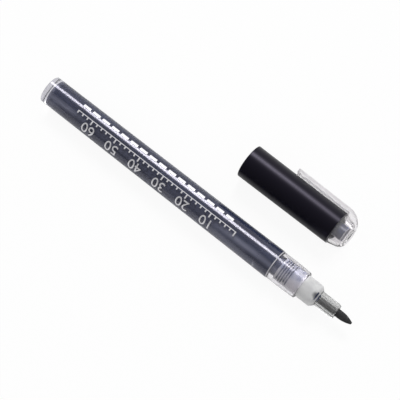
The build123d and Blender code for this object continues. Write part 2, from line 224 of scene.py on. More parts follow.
# Light: one softbox on the cap's side, which draws the bright line along the barrel, and a soft sky
KEY_LEAN = 35.5             # degrees from straight up, towards +Y
KEY_DISTANCE = 2.0
KEY_ALONG = -0.5            # its middle, along the marker
KEY_LENGTH = 0.54
KEY_WIDTH = 0.62
KEY_POWER = 22.0            # watts
SKY_STRENGTH = 0.58
SKY_SIDES = (0.26, 0.88)    # of its reflections, on the marker's side and on the softbox's side
UNSCATTERED = 0.5           # a light path with fewer diffuse bounces than this has had none
FLOOR_SIZE = 6.0
FLOOR_GLOW = 0.92           # share of plain white in the floor as seen, also through clear plastic
FLOOR_GLOW_MIRRORED = 0.3   # the same for the floor in a reflection


def linear(hex_colour):
    """Linear RGBA of an sRGB hex colour, by the curve of the sRGB standard."""
    channels = [int(hex_colour[start:start + 2], 16) / 255 for start in (1, 3, 5)]
    return [c / 12.92 if c <= 0.04045 else ((c + 0.055) / 1.055) ** 2.4 for c in channels] + [1.0]


def per(size):
    """Scale of a pattern whose repeat is this many millimetres."""
    if isinstance(size, tuple):
        return [1 / (length * MM) for length in size]
    return 1 / (size * MM)


def add_node(tree, kind, inputs=None, **settings):
    """A new node with its settings. An input is a constant or another node's output."""
    node = tree.nodes.new(kind)
    for name, value in settings.items():
        setattr(node, name, value)
    for name, value in (inputs or {}).items():
        if isinstance(value, bpy.types.NodeSocket):
            tree.links.new(value, node.inputs[name])
        else:
            node.inputs[name].default_value = value
    return node


def new_material(name):
    """An empty material, its node tree and the place of each point on its piece."""
    material = bpy.data.materials.new(name)
    material.use_nodes = True
    tree = material.node_tree
    tree.nodes.clear()
    return material, tree, add_node(tree, "ShaderNodeTexCoord").outputs["Object"]


def light_through(tree, plastic, tint):
    """Finish a clear plastic so that lamps shine through it, tinted, on what it holds."""
    path = add_node(tree, "ShaderNodeLightPath")
    open_way = add_node(tree, "ShaderNodeBsdfTransparent", {
        "Color": [channel ** FACE_SHARE for channel in linear(tint)],
    })
    mix = add_node(tree, "ShaderNodeMixShader", {
        "Fac": path.outputs["Is Shadow Ray"],
        1: plastic.outputs["BSDF"], 2: open_way.outputs["BSDF"],
    })
    add_node(tree, "ShaderNodeOutputMaterial", {"Surface": mix.outputs["Shader"]})


def clear_styrene(name, tint, glint, polish, clarity):
    """Clear styrene plastic, injection moulded: glassy, with a faint uneven haze in its gloss."""
    material, tree, place = new_material(name)
    haze = add_node(tree, "ShaderNodeTexNoise", {
        "Vector": place, "Scale": per(HAZE_SIZE), "Detail": 3.0,
    })
    gloss = add_node(tree, "ShaderNodeMapRange", {
        "Value": haze.outputs["Fac"], "To Min": polish[0], "To Max": polish[1],
    })
    plastic = add_node(tree, "ShaderNodeBsdfPrincipled", {
        "Base Color": linear(tint), "IOR": STYRENE_IOR, "Roughness": gloss.outputs["Result"],
        "Transmission Weight": clarity, "Specular Tint": linear(glint),
    })
    light_through(tree, plastic, tint)
    return material


def rubbed_styrene():
    """Clear styrene of the cap's end: polished at the dome, rubbed milky along the clip."""
    material, tree, place = new_material("rubbed_clear_styrene")
    haze = add_node(tree, "ShaderNodeTexNoise", {
        "Vector": place, "Scale": per(HAZE_SIZE), "Detail": 3.0,
    })
    axes = add_node(tree, "ShaderNodeSeparateXYZ", {"Vector": place})
    rubbed = add_node(tree, "ShaderNodeMapRange", {
        "Value": axes.outputs["Y"], "From Min": cap_axis_y + CLIP_START * MM,
        "From Max": cap_axis_y + CLIP_FULL * MM,
    })
    dull = add_node(tree, "ShaderNodeMapRange", {
        "Value": rubbed.outputs["Result"], "To Min": DOME_GLOSS, "To Max": CLIP_GLOSS,
    })
    uneven = add_node(tree, "ShaderNodeMapRange", {
        "Value": haze.outputs["Fac"], "To Max": CAP_END_HAZE,
    })
    roughness = add_node(tree, "ShaderNodeMath", {
        0: dull.outputs["Result"], 1: uneven.outputs["Result"],
    }, operation="ADD")
    clarity = add_node(tree, "ShaderNodeMapRange", {
        "Value": rubbed.outputs["Result"], "To Min": DOME_CLARITY, "To Max": CLIP_CLARITY,
    })
    plastic = add_node(tree, "ShaderNodeBsdfPrincipled", {
        "Base Color": linear(CAP_END_TINT), "IOR": STYRENE_IOR,
        "Roughness": roughness.outputs["Value"],
        "Transmission Weight": clarity.outputs["Result"],
    })
    light_through(tree, plastic, CAP_END_TINT)
    return material


def wet_paint():
    """Black acrylic paint that wets the barrel: blue-black, streaked along and thin at the tail.
    Smudges and a painted reflection make its -Y side paler, with a painted highlight line there
    near both ends."""
    material, tree, place = new_material("wet_acrylic_paint")
    along = add_node(tree, "ShaderNodeMapping", {"Vector": place, "Scale": per(PAINT_STREAK)})
    streaks = add_node(tree, "ShaderNodeTexNoise", {
        "Vector": along.outputs["Vector"], "Scale": 1.0, "Detail": 5.0,
    })
    streak_share = add_node(tree, "ShaderNodeMapRange", {
        "Value": streaks.outputs["Fac"],
        "From Min": STREAK_LEVELS[0], "From Max": STREAK_LEVELS[1],
    })
    streaked = add_node(tree, "ShaderNodeMixRGB", {
        "Fac": streak_share.outputs["Result"],
        "Color1": linear("#262c42"), "Color2": linear("#434b65"),
    })
    broad = add_node(tree, "ShaderNodeMapping", {"Vector": place, "Scale": per(PAINT_SMUDGE)})
    smudges = add_node(tree, "ShaderNodeTexNoise", {
        "Vector": broad.outputs["Vector"], "Scale": 1.0, "Detail": 4.0,
    })
    smudge_share = add_node(tree, "ShaderNodeMapRange", {
        "Value": smudges.outputs["Fac"],
        "From Min": SMUDGE_LEVELS[0], "From Max": SMUDGE_LEVELS[1],
    })
    axes = add_node(tree, "ShaderNodeSeparateXYZ", {"Vector": place})
    # painted reflection: the -Y side of the paint is painted paler, with the smudges on it
    painted_reflection_side = add_node(tree, "ShaderNodeMapRange", {
        "Value": axes.outputs["Y"], "From Min": marker_axis[0] + REFLECTION_SIDE[0] * MM,
        "From Max": marker_axis[0] + REFLECTION_SIDE[1] * MM, "To Min": 1.0, "To Max": 0.0,
    })
    smudge_and_reflection_floor = add_node(tree, "ShaderNodeMath", {
        0: smudge_share.outputs["Result"], 1: REFLECTION_LEAST,
    }, operation="MAXIMUM")
    smudge_and_reflection_share = add_node(tree, "ShaderNodeMath", {
        0: smudge_and_reflection_floor.outputs["Value"], 1: painted_reflection_side.outputs["Result"],
    }, operation="MULTIPLY")
    smudged_with_painted_reflection = add_node(tree, "ShaderNodeMixRGB", {
        "Fac": smudge_and_reflection_share.outputs["Value"],
        "Color1": streaked.outputs["Color"], "Color2": linear("#888ca0"),
    })
    # painted highlight: a soft pale line along the -Y side near both ends, standing in for a
    # mirrored fill light
    from_highlight_line = add_node(tree, "ShaderNodeMath", {
        0: axes.outputs["Y"], 1: marker_axis[0] + HIGHLIGHT_LINE_SIDE * MM,
    }, operation="SUBTRACT")
    off_highlight_line = add_node(tree, "ShaderNodeMath", {0: from_highlight_line.outputs["Value"]}, operation="ABSOLUTE")
    painted_highlight_line = add_node(tree, "ShaderNodeMapRange", {
        "Value": off_highlight_line.outputs["Value"], "From Max": HIGHLIGHT_LINE_WIDTH * MM, "To Min": 1.0, "To Max": 0.0,
    }, interpolation_type="SMOOTHSTEP")
    near_tail = add_node(tree, "ShaderNodeMapRange", {
        "Value": axes.outputs["X"], "From Min": tail_x + TAIL_HIGHLIGHT_LINE[0] * MM,
        "From Max": tail_x + TAIL_HIGHLIGHT_LINE[1] * MM, "To Min": 1.0, "To Max": 0.0,
    })
    near_front = add_node(tree, "ShaderNodeMapRange", {
        "Value": axes.outputs["X"], "From Min": tail_x + FRONT_HIGHLIGHT_LINE[0] * MM,
        "From Max": tail_x + FRONT_HIGHLIGHT_LINE[1] * MM,
    })
    near_ends = add_node(tree, "ShaderNodeMath", {
        0: near_tail.outputs["Result"], 1: near_front.outputs["Result"],
    }, operation="ADD")
    highlight_at_ends = add_node(tree, "ShaderNodeMath", {
        0: painted_highlight_line.outputs["Result"], 1: near_ends.outputs["Value"],
    }, operation="MULTIPLY")
    highlight_share = add_node(tree, "ShaderNodeMath", {
        0: highlight_at_ends.outputs["Value"], 1: streaks.outputs["Fac"],
    }, operation="MULTIPLY")
    with_painted_highlight = add_node(tree, "ShaderNodeMixRGB", {
        "Fac": highlight_share.outputs["Value"],
        "Color1": smudged_with_painted_reflection.outputs["Color"], "Color2": linear("#b3b6c6"),
    })
    paint_rear = tail_x + BARREL_END_WALL * MM
    thin = add_node(tree, "ShaderNodeMapRange", {
        "Value": axes.outputs["X"], "From Min": paint_rear, "From Max": paint_rear + THIN_END * MM,
        "To Min": TAIL_THINNING, "To Max": 0.0,
    })
    thin_share = add_node(tree, "ShaderNodeMath", {
        0: thin.outputs["Result"], 1: streaks.outputs["Fac"],
    }, operation="MULTIPLY")
    colour = add_node(tree, "ShaderNodeMixRGB", {
        "Fac": thin_share.outputs["Value"],
        "Color1": with_painted_highlight.outputs["Color"], "Color2": linear("#a9abb8"),
    })
    paint = add_node(tree, "ShaderNodeBsdfPrincipled", {
        "Base Color": colour.outputs["Color"], "Roughness": 0.6, "Specular IOR Level": 0.1,
    })
    add_node(tree, "ShaderNodeOutputMaterial", {"Surface": paint.outputs["BSDF"]})
    return material


def milky_polyethylene():
    """Natural polyethylene: milky, lit right through. Under the front section it has paint stain
    and painted shade on the softbox's side, and painted light on its shaded -Y side; it is darker
    where the paint inside shows through its thin front."""
    material, tree, place = new_material("natural_polyethylene")
    cloud = add_node(tree, "ShaderNodeTexNoise", {
        "Vector": place, "Scale": per(CLOUD_SIZE), "Detail": 4.0,
    })
    axes = add_node(tree, "ShaderNodeSeparateXYZ", {"Vector": place})
    section_front = tail_x + SECTION_FRONT * MM
    covered = add_node(tree, "ShaderNodeMapRange", {
        "Value": axes.outputs["X"], "From Min": section_front - STAIN_AND_LIGHT_FADE[0] * MM,
        "From Max": section_front - STAIN_AND_LIGHT_FADE[1] * MM, "To Min": 1.0, "To Max": 0.0,
    })
    stain_and_light_side = add_node(tree, "ShaderNodeMapRange", {
        "Value": axes.outputs["Y"], "From Min": marker_axis[0] + STAIN_AND_LIGHT_SIDE[0] * MM,
        "From Max": marker_axis[0] + STAIN_AND_LIGHT_SIDE[1] * MM,
    })
    # painted shade: under the section the stain also darkens the middle and the softbox's side
    stain_and_shade_behind = add_node(tree, "ShaderNodeMath", {
        0: covered.outputs["Result"], 1: stain_and_light_side.outputs["Result"],
    }, operation="MULTIPLY")
    # painted light: under the section the shaded -Y side is painted paler
    painted_light_behind = add_node(tree, "ShaderNodeMath", {
        0: covered.outputs["Result"], 1: stain_and_shade_behind.outputs["Value"],
    }, operation="SUBTRACT")
    stain = add_node(tree, "ShaderNodeMapRange", {
        "Value": cloud.outputs["Fac"], "From Min": STAIN_LEVELS[0], "From Max": STAIN_LEVELS[1],
        "To Min": STAIN_AND_SHADE_SHARES[0], "To Max": STAIN_AND_SHADE_SHARES[1],
    })
    stain_and_shade_share = add_node(tree, "ShaderNodeMath", {
        0: stain_and_shade_behind.outputs["Value"], 1: stain.outputs["Result"],
    }, operation="MULTIPLY")
    shade = add_node(tree, "ShaderNodeMapRange", {
        "Value": cloud.outputs["Fac"], "From Min": CLOUD_LEVELS[0], "From Max": CLOUD_LEVELS[1],
    })
    milky = add_node(tree, "ShaderNodeMixRGB", {
        "Fac": shade.outputs["Result"],
        "Color1": linear("#cdcdce"), "Color2": linear("#d8d8d8"),
    })
    milky_with_painted_light = add_node(tree, "ShaderNodeMixRGB", {
        "Fac": painted_light_behind.outputs["Value"],
        "Color1": milky.outputs["Color"], "Color2": linear("#f4f2f4"),
    })
    stained_and_shaded = add_node(tree, "ShaderNodeMixRGB", {
        "Fac": stain_and_shade_share.outputs["Value"],
        "Color1": milky_with_painted_light.outputs["Color"], "Color2": linear("#8a90a4"),
    })
    spot_angle = math.radians(THIN_SPOT[1])
    spot = (
        tail_x + (HOLDER_FRONT + THIN_SPOT[0]) * MM,
        marker_axis[0] + THIN_SPOT_RADIUS * MM * math.sin(spot_angle),
        marker_axis[1] + THIN_SPOT_RADIUS * MM * math.cos(spot_angle),
    )
    from_spot = add_node(tree, "ShaderNodeVectorMath", {0: place, 1: spot}, operation="DISTANCE")
    shows_through = add_node(tree, "ShaderNodeMapRange", {
        "Value": from_spot.outputs["Value"], "From Min": THIN_SPOT_REACH[0] * MM,
        "From Max": THIN_SPOT_REACH[1] * MM, "To Min": THIN_SPOT_SHARE, "To Max": 0.0,
    }, interpolation_type="SMOOTHSTEP")
    colour = add_node(tree, "ShaderNodeMixRGB", {
        "Fac": shows_through.outputs["Result"],
        "Color1": stained_and_shaded.outputs["Color"], "Color2": linear("#46474d"),
    })
    gloss = add_node(tree, "ShaderNodeMapRange", {
        "Value": cloud.outputs["Fac"], "To Min": HOLDER_GLOSS[0], "To Max": HOLDER_GLOSS[1],
    })
    plastic = add_node(tree, "ShaderNodeBsdfPrincipled", {
        "Base Color": colour.outputs["Color"], "IOR": POLYETHYLENE_IOR,
        "Roughness": gloss.outputs["Result"], "Specular IOR Level": 0.12,
        "Subsurface Weight": 1.0, "Subsurface Radius": (1.0, 1.0, 1.0),
        "Subsurface Scale": SCATTER_DEPTH * MM,
    })
    add_node(tree, "ShaderNodeOutputMaterial", {"Surface": plastic.outputs["BSDF"]})
    return material


def thin_polypropylene():
    """Thin natural polypropylene: nearly clear, a little hazy."""
    material, tree, place = new_material("thin_polypropylene")
    haze = add_node(tree, "ShaderNodeTexNoise", {
        "Vector": place, "Scale": per(SLEEVE_HAZE_SIZE), "Detail": 3.0,
    })
    gloss = add_node(tree, "ShaderNodeMapRange", {
        "Value": haze.outputs["Fac"], "To Min": SLEEVE_GLOSS[0], "To Max": SLEEVE_GLOSS[1],
    })
    plastic = add_node(tree, "ShaderNodeBsdfPrincipled", {
        "Base Color": linear(SLEEVE_TINT), "IOR": POLYPROPYLENE_IOR,
        "Roughness": gloss.outputs["Result"], "Transmission Weight": SLEEVE_CLARITY,
    })
    light_through(tree, plastic, SLEEVE_TINT)
    return material


def soaked_fibre():
    """Bonded polyester fibre soaked in black paint: matt, with fine fibres along the nib."""
    material, tree, place = new_material("soaked_polyester_fibre")
    along = add_node(tree, "ShaderNodeMapping", {"Vector": place, "Scale": per(FIBRE_SIZE)})
    fibres = add_node(tree, "ShaderNodeTexNoise", {
        "Vector": along.outputs["Vector"], "Scale": 1.0, "Detail": 3.0,
    })
    shade = add_node(tree, "ShaderNodeMapRange", {
        "Value": fibres.outputs["Fac"], "From Min": FIBRE_LEVELS[0], "From Max": FIBRE_LEVELS[1],
    })
    colour = add_node(tree, "ShaderNodeMixRGB", {
        "Fac": shade.outputs["Result"],
        "Color1": linear("#101012"), "Color2": linear("#3a3a3c"),
    })
    bump = add_node(tree, "ShaderNodeBump", {
        "Strength": 0.5, "Distance": FIBRE_RELIEF * MM, "Height": fibres.outputs["Fac"],
    })
    fibre = add_node(tree, "ShaderNodeBsdfPrincipled", {
        "Base Color": colour.outputs["Color"], "Roughness": 0.75, "Specular IOR Level": 0.3,
        "Normal": bump.outputs["Normal"],
    })
    add_node(tree, "ShaderNodeOutputMaterial", {"Surface": fibre.outputs["BSDF"]})
    return material


def satin_black():
    """Black polypropylene moulded in a satin tool: a broad soft highlight, a fine even texture."""
    material, tree, place = new_material("satin_black_polypropylene")
    grain = add_node(tree, "ShaderNodeTexNoise", {
        "Vector": place, "Scale": per(SATIN_GRAIN), "Detail": 3.0,
    })
    gloss = add_node(tree, "ShaderNodeMapRange", {
        "Value": grain.outputs["Fac"], "To Min": SATIN_GLOSS[0], "To Max": SATIN_GLOSS[1],
    })
    bump = add_node(tree, "ShaderNodeBump", {
        "Strength": 0.08, "Distance": SATIN_RELIEF * MM, "Height": grain.outputs["Fac"],
    })
    plastic = add_node(tree, "ShaderNodeBsdfPrincipled", {
        "Base Color": linear("#05040e"), "IOR": POLYPROPYLENE_IOR,
        "Roughness": gloss.outputs["Result"], "Specular IOR Level": 0.24,
        "Specular Tint": linear("#ede5ff"), "Normal": bump.outputs["Normal"],
    })
    add_node(tree, "ShaderNodeOutputMaterial", {"Surface": plastic.outputs["BSDF"]})
    return material


def dark_polyethylene():
    """Dark blue-grey polyethylene of the inner cap: smooth and half matt."""
    material, tree, place = new_material("dark_polyethylene")
    grain = add_node(tree, "ShaderNodeTexNoise", {
        "Vector": place, "Scale": per(CAP_GRAIN), "Detail": 2.0,
    })
    shade = add_node(tree, "ShaderNodeMapRange", {
        "Value": grain.outputs["Fac"], "From Min": GRAIN_LEVELS[0], "From Max": GRAIN_LEVELS[1],
    })
    colour = add_node(tree, "ShaderNodeMixRGB", {
        "Fac": shade.outputs["Result"],
        "Color1": linear("#1c2548"), "Color2": linear("#283154"),
    })
    gloss = add_node(tree, "ShaderNodeMapRange", {
        "Value": grain.outputs["Fac"], "To Min": INNER_CAP_GLOSS[0], "To Max": INNER_CAP_GLOSS[1],
    })
    plastic = add_node(tree, "ShaderNodeBsdfPrincipled", {
        "Base Color": colour.outputs["Color"], "IOR": POLYETHYLENE_IOR,
        "Roughness": gloss.outputs["Result"],
    })
    add_node(tree, "ShaderNodeOutputMaterial", {"Surface": plastic.outputs["BSDF"]})
    return material


def silver_ink():
    """Silver screen-printing ink: aluminium flake in a clear binder, soft and a little grainy."""
    material, tree, place = new_material("silver_screen_ink")
    flake = add_node(tree, "ShaderNodeTexNoise", {
        "Vector": place, "Scale": per(FLAKE_SIZE), "Detail": 2.0,
    })
    shade = add_node(tree, "ShaderNodeMapRange", {
        "Value": flake.outputs["Fac"], "From Min": FLAKE_LEVELS[0], "From Max": FLAKE_LEVELS[1],
    })
    colour = add_node(tree, "ShaderNodeMixRGB", {
        "Fac": shade.outputs["Result"],
        "Color1": linear("#cfced2"), "Color2": linear("#f2f1f4"),
    })
    ink = add_node(tree, "ShaderNodeBsdfPrincipled", {
        "Base Color": colour.outputs["Color"], "Roughness": 0.35, "Metallic": 0.5,
    })
    add_node(tree, "ShaderNodeOutputMaterial", {"Surface": ink.outputs["BSDF"]})
    return material


def welded_styrene():
    """Pale styrene, matt and a little uneven: a painted highlight for the bright line of light at
    the barrel's front rim.
    """
    material, tree, place = new_material("welded_styrene")
    cloud = add_node(tree, "ShaderNodeTexNoise", {
        "Vector": place, "Scale": per(HAZE_SIZE), "Detail": 3.0,
    })
    colour = add_node(tree, "ShaderNodeMixRGB", {
        "Fac": cloud.outputs["Fac"], "Color1": linear("#b4b3ba"), "Color2": linear("#d8d7dc"),
    })
    plastic = add_node(tree, "ShaderNodeBsdfPrincipled", {
        "Base Color": colour.outputs["Color"], "IOR": STYRENE_IOR, "Roughness": 0.5,
    })
    add_node(tree, "ShaderNodeOutputMaterial", {"Surface": plastic.outputs["BSDF"]})
    return material


def drawn_steel():
    """Stainless steel, drawn to wire or ground to a ball: bright, with fine marks."""
    material, tree, place = new_material("bright_stainless_steel")
    marks = add_node(tree, "ShaderNodeTexNoise", {
        "Vector": place, "Scale": per(STEEL_MARK), "Detail": 3.0,
    })
    gloss = add_node(tree, "ShaderNodeMapRange", {
        "Value": marks.outputs["Fac"], "To Min": STEEL_GLOSS[0], "To Max": STEEL_GLOSS[1],
    })
    steel = add_node(tree, "ShaderNodeBsdfPrincipled", {
        "Base Color": linear("#c9c8c6"), "Metallic": 1.0, "Roughness": gloss.outputs["Result"],
    })
    add_node(tree, "ShaderNodeOutputMaterial", {"Surface": steel.outputs["BSDF"]})
    return material


def seat_rubber():
    """Black nitrile rubber of the valve seat: dark and dull, with a fine moulded grain."""
    material, tree, place = new_material("nitrile_rubber")
    grain = add_node(tree, "ShaderNodeTexNoise", {
        "Vector": place, "Scale": per(RUBBER_GRAIN), "Detail": 3.0,
    })
    shade = add_node(tree, "ShaderNodeMapRange", {
        "Value": grain.outputs["Fac"], "From Min": GRAIN_LEVELS[0], "From Max": GRAIN_LEVELS[1],
    })
    colour = add_node(tree, "ShaderNodeMixRGB", {
        "Fac": shade.outputs["Result"],
        "Color1": linear("#161617"), "Color2": linear("#26262a"),
    })
    rubber = add_node(tree, "ShaderNodeBsdfPrincipled", {
        "Base Color": colour.outputs["Color"], "Roughness": 0.8, "Specular IOR Level": 0.3,
    })
    add_node(tree, "ShaderNodeOutputMaterial", {"Surface": rubber.outputs["BSDF"]})
    return material


def white_acetal():
    """Natural white acetal of the plunger and the spring cage: dense, smooth, half matt."""
    material, tree, place = new_material("natural_acetal")
    grain = add_node(tree, "ShaderNodeTexNoise", {
        "Vector": place, "Scale": per(ACETAL_GRAIN), "Detail": 3.0,
    })
    shade = add_node(tree, "ShaderNodeMapRange", {
        "Value": grain.outputs["Fac"], "From Min": GRAIN_LEVELS[0], "From Max": GRAIN_LEVELS[1],
    })
    colour = add_node(tree, "ShaderNodeMixRGB", {
        "Fac": shade.outputs["Result"],
        "Color1": linear("#dddcd6"), "Color2": linear("#ebeae5"),
    })
    gloss = add_node(tree, "ShaderNodeMapRange", {
        "Value": grain.outputs["Fac"], "To Min": ACETAL_GLOSS[0], "To Max": ACETAL_GLOSS[1],
    })
    plastic = add_node(tree, "ShaderNodeBsdfPrincipled", {
        "Base Color": colour.outputs["Color"], "IOR": ACETAL_IOR,
        "Roughness": gloss.outputs["Result"],
    })
    add_node(tree, "ShaderNodeOutputMaterial", {"Surface": plastic.outputs["BSDF"]})
    return material


def dress(material, *nodes):
    """Give solids from the frame their material."""
    for node in nodes:
        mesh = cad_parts[node].data
        mesh.materials.clear()
        mesh.materials.append(material)


def turned(name, axis, corners, closed=False, sweep=(0.0, FULL_TURN)):
    """A piece turned about a line along X.

    A corner is (place from the tail, radius) or (place, radius, rounding), in millimetres.
    The sweep is in degrees from straight up towards +Y.
    """
    first_angle, last_angle = (math.radians(angle) for angle in sweep)
    side = Vector((0, math.sin(first_angle), math.cos(first_angle)))
    middle = Vector((tail_x, *axis))
    places = [
        middle + Vector((corner[0] * MM, 0, 0)) + side * (corner[1] * MM) for corner in corners
    ]
    bpy.ops.object.select_all(action="DESELECT")
    bpy.ops.mesh.primitive_plane_add(size=MM, location=places[0])
    piece = bpy.context.object
    piece.name = name
    bpy.ops.object.transform_apply(location=True, rotation=False, scale=False)
    bpy.ops.object.mode_set(mode="EDIT")
    bpy.ops.mesh.merge(type="CENTER")
    for here, there in zip(places, places[1:] + places[:1] * closed):
        bpy.ops.mesh.extrude_region_move(TRANSFORM_OT_translate={"value": there - here})
    bpy.ops.mesh.select_all(action="SELECT")
    bpy.ops.mesh.remove_doubles(threshold=WELD_DISTANCE)
    for corner, place in zip(corners, places):
        if len(corner) == 3:
            bpy.ops.mesh.select_all(action="DESELECT")
            outline = bmesh.from_edit_mesh(piece.data)
            min(outline.verts, key=lambda vertex: (vertex.co - place).length).select = True
            bpy.ops.mesh.bevel(
                offset_type="ABSOLUTE", offset=corner[2] * MM, segments=ROUND_SEGMENTS,
                affect="VERTICES",
            )
    bpy.ops.mesh.select_all(action="SELECT")
    steps = max(LEAST_STEPS, round(FULL_TURN_STEPS * (sweep[1] - sweep[0]) / FULL_TURN))
    bpy.ops.mesh.spin(
        steps=steps, angle=last_angle - first_angle, center=middle, axis=(1, 0, 0)
    )
    bpy.ops.mesh.select_all(action="SELECT")
    bpy.ops.mesh.remove_doubles(threshold=WELD_DISTANCE)
    bpy.ops.mesh.normals_make_consistent(inside=False)
    bpy.ops.object.mode_set(mode="OBJECT")
    bpy.ops.object.shade_smooth_by_angle(angle=SMOOTH_ANGLE)
    return piece


def join(name, pieces):
    """Several meshes as one piece."""
    bpy.ops.object.select_all(action="DESELECT")
    for piece in pieces:
        piece.select_set(True)
    bpy.context.view_layer.objects.active = pieces[0]
    bpy.ops.object.join()
    pieces[0].name = name
    return pieces[0]


def fill_ends(piece):
    """Close the open ends of a part turn."""
    bpy.ops.object.mode_set(mode="EDIT")
    bpy.ops.mesh.select_all(action="DESELECT")
    bpy.ops.mesh.select_non_manifold()
    bpy.ops.mesh.edge_face_add()
    bpy.ops.mesh.select_all(action="SELECT")
    bpy.ops.mesh.normals_make_consistent(inside=False)
    bpy.ops.object.mode_set(mode="OBJECT")
    return piece


def set_up(piece, material, body):
    """A new piece's material and the body that it moves with."""
    piece.data.materials.clear()
    piece.data.materials.append(material)
    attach(piece, body)


def barrel_radius(x):
    """Outside radius of the tapered barrel."""
    return BARREL_TAIL_RADIUS + (BARREL_FRONT_RADIUS - BARREL_TAIL_RADIUS) * x / BARREL_LENGTH


def bore_radius(x):
    """Radius of the paint where it wets the barrel."""
    return barrel_radius(x) - BARREL_WALL + WETTING


def make_ball_room():
    """Room left in the paint for the run of the mixing ball, turned inside out."""
    ball_low, ball_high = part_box("mixing_ball")
    ball_axis = ((ball_low.y + ball_high.y) / 2, (ball_low.z + ball_high.z) / 2)
    radius = (ball_high.x - ball_low.x) / 2 / MM + BALL_GAP
    rear = BARREL_END_WALL + BARREL_BORE_ROUND
    front = rear_of("front_section") - BARREL_WALL
    room = turned("ball_room", ball_axis, [(rear, 0), (rear, radius), (front, radius), (front, 0)])
    bpy.ops.object.mode_set(mode="EDIT")
    bpy.ops.mesh.select_all(action="SELECT")
    bpy.ops.mesh.flip_normals()
    bpy.ops.object.mode_set(mode="OBJECT")
    return room


def make_paint(material):
    """Paint that wets the barrel and runs into its joint with the front section."""
    rear = BARREL_END_WALL - WETTING
    film_front = BARREL_LENGTH - FILM_SHORTFALL
    spigot_rear = rear_of("front_section") - PAINT_GAP
    front = HOLDER_REAR - PAINT_GAP
    cage_rear = rear_of("spring_cage") - PAINT_GAP
    film_radius = SPIGOT_RADIUS - FILM_THICKNESS
    core_radius = SECTION_BORE_RADIUS - PAINT_GAP
    cage_radius = CHAMBER_RADIUS + PAINT_GAP
    charge = turned("paint", marker_axis, [
        (rear, 0),
        (rear, bore_radius(rear), BARREL_BORE_ROUND),
        (film_front, bore_radius(film_front)),
        (film_front, film_radius),
        (spigot_rear, film_radius),
        (spigot_rear, core_radius),
        (front, core_radius),
        (front, cage_radius),
        (cage_rear, cage_radius),
        (cage_rear, 0),
    ])
    piece = join("paint", [charge, make_ball_room()])
    set_up(piece, material, "marker")
    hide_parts("paint_charge")


def groove_rear(count):
    """Rear edge of one of the holder's grooves."""
    return HOLDER_REAR + HOLDER_LAND + count * GROOVE_PITCH


def make_holder(material):
    """Nib holder: grooves round its rear end, a rounded shoulder, and the valve's room inside."""
    bottom = HOLDER_RADIUS - GROOVE_DEPTH
    grooves = []
    for count in range(HOLDER_GROOVES):
        rear = groove_rear(count)
        front = rear + GROOVE_WIDTH
        grooves += [(rear, HOLDER_RADIUS, RIB_ROUND), (rear, bottom), (front, bottom)]
        grooves += [(front, HOLDER_RADIUS, RIB_ROUND)]
    sleeve_rear = rear_of("nib_sleeve")
    seat_front = front_of("valve_seat")
    holder = turned("holder", marker_axis, [
        (HOLDER_REAR, CHAMBER_RADIUS),
        (HOLDER_REAR, HOLDER_RADIUS, HOLDER_EDGE_ROUND),
        *grooves,
        (HOLDER_FRONT - HOLDER_SHOULDER, HOLDER_RADIUS, HOLDER_SHOULDER_ROUND),
        (HOLDER_FRONT, HOLDER_RADIUS - HOLDER_SHOULDER, HOLDER_EDGE_ROUND),
        (HOLDER_FRONT, SLEEVE_RADIUS),
        (sleeve_rear, SLEEVE_RADIUS),
        (sleeve_rear, FEED_RADIUS),
        (seat_front, FEED_RADIUS),
        (seat_front, CHAMBER_RADIUS),
    ], closed=True)
    set_up(holder, material, "marker")
    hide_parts("nib_holder")


def nose_radius(x):
    """Outside radius of the holder's shoulder, and of the sleeve in front of it."""
    if x > HOLDER_FRONT:
        return SLEEVE_RADIUS
    return HOLDER_RADIUS - HOLDER_SHOULDER + HOLDER_FRONT - x


def make_seeped_paint(material):
    """Paint that has crept part of the way round in the holder's grooves, and out in front."""
    bottom = HOLDER_RADIUS - GROOVE_DEPTH - WETTING
    top = bottom + SEEP_DEPTH
    arcs = []
    for count, sweep in enumerate(SEEP_SWEEPS):
        rear = groove_rear(count)
        front = rear + GROOVE_WIDTH
        arcs.append(fill_ends(turned(
            "seep", marker_axis, [(rear, bottom), (rear, top), (front, top), (front, bottom)],
            closed=True, sweep=sweep,
        )))
    for place in BLEED_PLACES:
        rear = HOLDER_FRONT + place
        front = rear + BLEED_WIDTH
        arcs.append(fill_ends(turned(
            "bleed", marker_axis, [
                (rear, nose_radius(rear) - WETTING), (rear, nose_radius(rear) + BLEED_HEIGHT),
                (front, nose_radius(front) + BLEED_HEIGHT), (front, nose_radius(front) - WETTING),
            ], closed=True, sweep=BLEED_SWEEP,
        )))
    set_up(join("seeped_paint", arcs), material, "marker")


def make_weld(material):
    """Fine pale ring where the front section meets the barrel: a painted highlight for the bright
    line of light at the barrel's front rim.
    """
    rim_line = turned("rim_highlight_line", marker_axis, [
        (BARREL_LENGTH - RIM_LINE_REACH, SECTION_RADIUS),
        (BARREL_LENGTH - RIM_LINE_REACH, SECTION_RADIUS + RIM_LINE_HEIGHT),
        (BARREL_LENGTH, SECTION_RADIUS + RIM_LINE_HEIGHT),
        (BARREL_LENGTH + RIM_LINE_REACH, SECTION_RADIUS),
    ], closed=True)
    set_up(rim_line, material, "marker")


def printed_mark(start, length, edges):
    """A patch of ink on the barrel, still without thickness."""
    end = start + length
    return turned(
        "mark", marker_axis, [(start, barrel_radius(start)), (end, barrel_radius(end))], sweep=edges
    )


